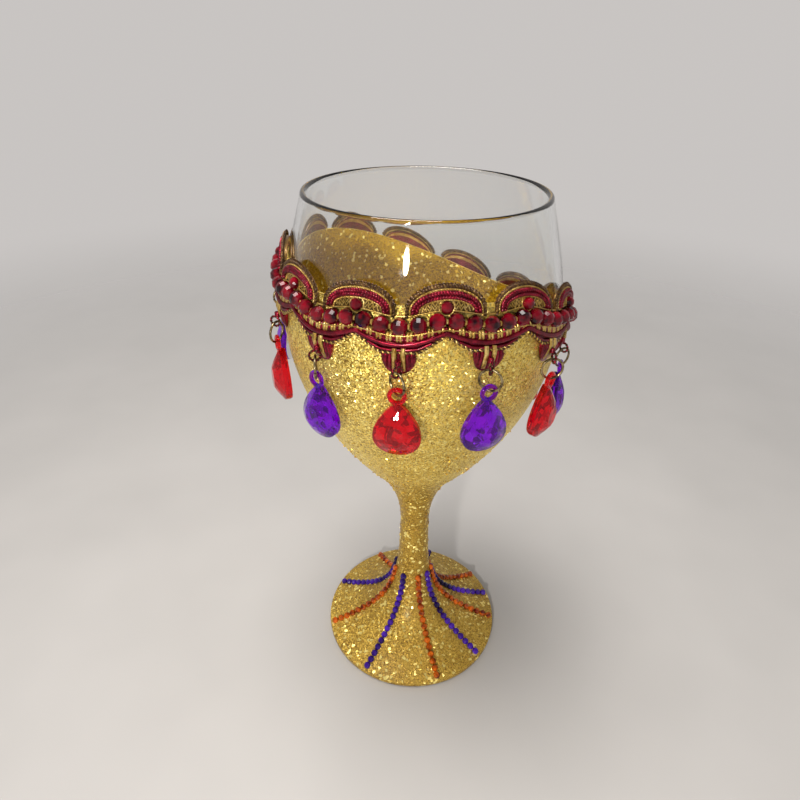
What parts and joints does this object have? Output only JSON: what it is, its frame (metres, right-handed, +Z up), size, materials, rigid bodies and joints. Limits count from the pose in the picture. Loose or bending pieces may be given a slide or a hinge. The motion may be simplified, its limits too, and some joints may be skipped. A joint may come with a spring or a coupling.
{
  "type": "goblet",
  "caption": "Stemmed wine goblet with a gold glitter coat, a scalloped beaded braid round the bowl, drops that swing on jump rings and rows of stones down the foot.",
  "frame": {"origin": "centre of the ring that the foot stands on", "axes": "+Z up along the stem to the bowl's mouth, -Y towards the front of the picture"},
  "size_m": [0.0956, 0.0952, 0.1795],
  "materials": {
    "clear_glass": "clear polished soda glass",
    "gold_glitter": "gold film flakes in clear glue, coarse and sparkling",
    "braid_red": "dark red metallic gimp cord",
    "braid_gold": "antique gold metallic thread",
    "red_bead": "dark red cut bead, glossy",
    "purple_stone": "dark purple flat-backed stone, glossy",
    "orange_stone": "orange-red flat-backed stone, glossy",
    "ring_wire": "antique brass wire",
    "red_drop": "clear red cut acrylic with a mirrored back",
    "purple_drop": "clear purple cut acrylic with a mirrored back"
  },
  "bodies": {
    "goblet": {"glass": "clear_glass", "bowl_glitter": "gold_glitter", "stem_glitter": "gold_glitter", "arch_band": "braid_red", "arch_edge_cords": "braid_gold", "arch_red_cords": "braid_red", "arch_eyes": "red_bead", "bead_row": "red_bead", "swag_band": "braid_gold", "swag_cord": "braid_red", "tip_tabs": "braid_red", "purple_stone_row_1": "purple_stone", "purple_stone_row_2": "purple_stone", "purple_stone_row_3": "purple_stone", "purple_stone_row_4": "purple_stone", "purple_stone_row_5": "purple_stone", "orange_stone_row_1": "orange_stone", "orange_stone_row_2": "orange_stone", "orange_stone_row_3": "orange_stone", "orange_stone_row_4": "orange_stone", "orange_stone_row_5": "orange_stone"},
    "ring_1": {"jump_ring_1": "ring_wire"},
    "drop_1": {"red_drop_1": "red_drop"},
    "ring_2": {"jump_ring_2": "ring_wire"},
    "drop_2": {"purple_drop_1": "purple_drop"},
    "ring_3": {"jump_ring_3": "ring_wire"},
    "drop_3": {"red_drop_2": "red_drop"},
    "ring_4": {"jump_ring_4": "ring_wire"},
    "drop_4": {"purple_drop_2": "purple_drop"},
    "ring_5": {"jump_ring_5": "ring_wire"},
    "drop_5": {"red_drop_3": "red_drop"},
    "ring_6": {"jump_ring_6": "ring_wire"},
    "drop_6": {"purple_drop_3": "purple_drop"},
    "ring_7": {"jump_ring_7": "ring_wire"},
    "drop_7": {"red_drop_4": "red_drop"},
    "ring_8": {"jump_ring_8": "ring_wire"},
    "drop_8": {"purple_drop_4": "purple_drop"},
    "ring_9": {"jump_ring_9": "ring_wire"},
    "drop_9": {"red_drop_5": "red_drop"},
    "ring_10": {"jump_ring_10": "ring_wire"},
    "drop_10": {"purple_drop_5": "purple_drop"},
    "ring_11": {"jump_ring_11": "ring_wire"},
    "drop_11": {"red_drop_6": "red_drop"},
    "ring_12": {"jump_ring_12": "ring_wire"},
    "drop_12": {"purple_drop_6": "purple_drop"}
  },
  "joints": [
    {"name": "ring_1_swing", "type": "hinge", "parent": "goblet", "child": "ring_1", "pos_m": [0.03972, 0.01686, 0.1273], "axis": [0.3907, -0.9205, 0], "range_deg": [-4, 50]},
    {"name": "drop_1_sway", "type": "hinge", "parent": "ring_1", "child": "drop_1", "pos_m": [0.03972, 0.01686, 0.1213], "axis": [0.9205, 0.3907, 0], "range_deg": [-20, 20]},
    {"name": "ring_2_swing", "type": "hinge", "parent": "goblet", "child": "ring_2", "pos_m": [0.02579, 0.03422, 0.12615], "axis": [0.7986, -0.6018, 0], "range_deg": [-4, 50]},
    {"name": "drop_2_sway", "type": "hinge", "parent": "ring_2", "child": "drop_2", "pos_m": [0.02579, 0.03422, 0.12015], "axis": [0.6018, 0.7986, 0], "range_deg": [-20, 20]},
    {"name": "ring_3_swing", "type": "hinge", "parent": "goblet", "child": "ring_3", "pos_m": [0.00538, 0.04379, 0.13167], "axis": [0.9925, -0.1219, 0], "range_deg": [-4, 50]},
    {"name": "drop_3_sway", "type": "hinge", "parent": "ring_3", "child": "drop_3", "pos_m": [0.00538, 0.04379, 0.12567], "axis": [0.1219, 0.9925, 0], "range_deg": [-20, 20]},
    {"name": "ring_4_swing", "type": "hinge", "parent": "goblet", "child": "ring_4", "pos_m": [-0.01767, 0.04162, 0.14007], "axis": [0.9205, 0.3907, 0], "range_deg": [-4, 50]},
    {"name": "drop_4_sway", "type": "hinge", "parent": "ring_4", "child": "drop_4", "pos_m": [-0.01767, 0.04162, 0.13407], "axis": [-0.3907, 0.9205, 0], "range_deg": [-20, 20]},
    {"name": "ring_5_swing", "type": "hinge", "parent": "goblet", "child": "ring_5", "pos_m": [-0.03622, 0.02729, 0.146], "axis": [0.6018, 0.7986, 0], "range_deg": [-4, 50]},
    {"name": "drop_5_sway", "type": "hinge", "parent": "ring_5", "child": "drop_5", "pos_m": [-0.03622, 0.02729, 0.14], "axis": [-0.7986, 0.6018, 0], "range_deg": [-20, 20]},
    {"name": "ring_6_swing", "type": "hinge", "parent": "goblet", "child": "ring_6", "pos_m": [-0.04498, 0.00552, 0.14709], "axis": [0.1219, 0.9925, 0], "range_deg": [-4, 50]},
    {"name": "drop_6_sway", "type": "hinge", "parent": "ring_6", "child": "drop_6", "pos_m": [-0.04498, 0.00552, 0.14109], "axis": [-0.9925, 0.1219, 0], "range_deg": [-20, 20]},
    {"name": "ring_7_swing", "type": "hinge", "parent": "goblet", "child": "ring_7", "pos_m": [-0.04176, -0.01773, 0.14537], "axis": [-0.3907, 0.9205, 0], "range_deg": [-4, 50]},
    {"name": "drop_7_sway", "type": "hinge", "parent": "ring_7", "child": "drop_7", "pos_m": [-0.04176, -0.01773, 0.13937], "axis": [-0.9205, -0.3907, 0], "range_deg": [-20, 20]},
    {"name": "ring_8_swing", "type": "hinge", "parent": "goblet", "child": "ring_8", "pos_m": [-0.0273, -0.03624, 0.14439], "axis": [-0.7986, 0.6018, 0], "range_deg": [-4, 50]},
    {"name": "drop_8_sway", "type": "hinge", "parent": "ring_8", "child": "drop_8", "pos_m": [-0.0273, -0.03624, 0.13839], "axis": [-0.6018, -0.7986, 0], "range_deg": [-20, 20]},
    {"name": "ring_9_swing", "type": "hinge", "parent": "goblet", "child": "ring_9", "pos_m": [-0.00553, -0.04503, 0.1452], "axis": [-0.9925, 0.1219, 0], "range_deg": [-4, 50]},
    {"name": "drop_9_sway", "type": "hinge", "parent": "ring_9", "child": "drop_9", "pos_m": [-0.00553, -0.04503, 0.1392], "axis": [-0.1219, -0.9925, 0], "range_deg": [-20, 20]},
    {"name": "ring_10_swing", "type": "hinge", "parent": "goblet", "child": "ring_10", "pos_m": [0.01773, -0.04176, 0.14526], "axis": [-0.9205, -0.3907, 0], "range_deg": [-4, 50]},
    {"name": "drop_10_sway", "type": "hinge", "parent": "ring_10", "child": "drop_10", "pos_m": [0.01773, -0.04176, 0.13926], "axis": [0.3907, -0.9205, 0], "range_deg": [-20, 20]},
    {"name": "ring_11_swing", "type": "hinge", "parent": "goblet", "child": "ring_11", "pos_m": [0.03617, -0.02726, 0.14145], "axis": [-0.6018, -0.7986, 0], "range_deg": [-4, 50]},
    {"name": "drop_11_sway", "type": "hinge", "parent": "ring_11", "child": "drop_11", "pos_m": [0.03617, -0.02726, 0.13545], "axis": [0.7986, -0.6018, 0], "range_deg": [-20, 20]},
    {"name": "ring_12_swing", "type": "hinge", "parent": "goblet", "child": "ring_12", "pos_m": [0.0442, -0.00543, 0.13403], "axis": [-0.1219, -0.9925, 0], "range_deg": [-4, 50]},
    {"name": "drop_12_sway", "type": "hinge", "parent": "ring_12", "child": "drop_12", "pos_m": [0.0442, -0.00543, 0.12804], "axis": [0.9925, -0.1219, 0], "range_deg": [-20, 20]}
  ]
}
